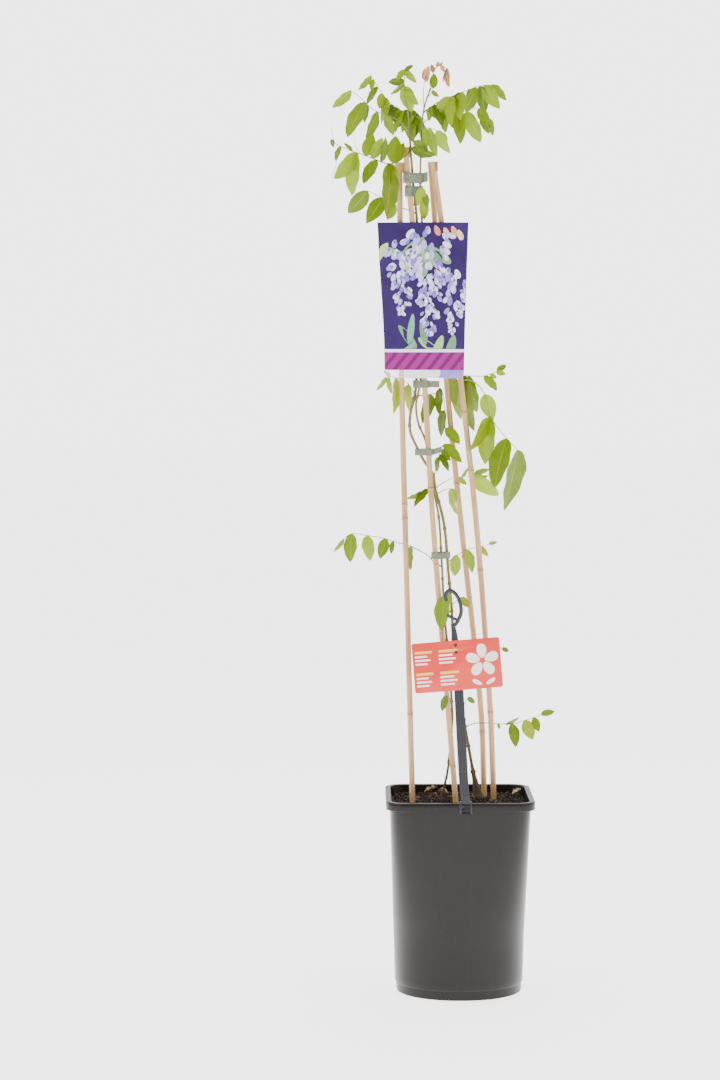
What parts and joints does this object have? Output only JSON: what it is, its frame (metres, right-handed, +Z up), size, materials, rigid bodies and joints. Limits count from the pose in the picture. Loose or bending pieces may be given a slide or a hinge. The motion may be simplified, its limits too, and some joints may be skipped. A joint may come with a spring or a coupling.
{
  "type": "wisteria in a pot",
  "caption": "Young climbing plant trained up bamboo canes in a square nursery pot of soil, with pinnate fronds, soft ties, a hooked strap, a care card and a picture label.",
  "frame": {"origin": "middle of the flat foot of the pot, on the surface it stands on", "axes": "+Z up along the canes, the pot's front face and its hooked strap towards -Y, +X to the right seen from the front"},
  "size_m": [0.3067, 0.2034, 1.2641],
  "materials": {
    "pot": "satin",
    "soil": "matte",
    "bamboo": "satin",
    "bark": "matte",
    "tie": "matte",
    "strap": "satin",
    "card": "satin",
    "label": "satin",
    "leaf": "satin",
    "pale_leaf": "satin",
    "bronze_leaf": "satin",
    "dry_leaf": "matte"
  },
  "bodies": {
    "root": {"pot": "pot", "soil": "soil", "cane_left": "bamboo", "cane_front": "bamboo", "cane_back": "bamboo", "cane_right": "bamboo", "stem_main": "bark", "stem_second": "bark", "tie_top": "tie", "tie_top_lower": "tie", "tie_below_label": "tie", "tie_middle": "tie", "tie_low": "tie", "strap": "strap", "care_card": "card", "picture_label": "label", "frond_crown_far_left": "leaf", "frond_crown_left_top": "leaf", "frond_crown_left": "leaf", "frond_crown_left_low": "leaf", "leafy_tip_left": "leaf", "frond_crown_back": "leaf", "frond_crown_right": "leaf", "frond_crown_right_low": "leaf", "frond_crown_right_drooping": "pale_leaf", "frond_crown_front": "leaf", "frond_below_top_tie": "leaf", "young_frond_bronze": "bronze_leaf", "young_frond_bud": "bronze_leaf", "young_frond_green": "leaf", "frond_right_drooping": "pale_leaf", "frond_right_upper": "leaf", "frond_right_level": "pale_leaf", "frond_below_label": "leaf", "frond_centre": "leaf", "frond_left_narrow": "leaf", "leaf_beside_cane": "pale_leaf", "frond_left_pale": "pale_leaf", "frond_left_long": "leaf", "frond_right_thin": "pale_leaf", "leaf_by_hook": "leaf", "frond_hook_front": "leaf", "frond_behind_card": "leaf", "leaf_low_left": "leaf", "leaf_low_right": "leaf", "frond_low_right": "leaf", "dry_leaf_left": "dry_leaf", "dry_leaf_back": "dry_leaf", "dry_leaf_right": "dry_leaf"}
  },
  "joints": []
}
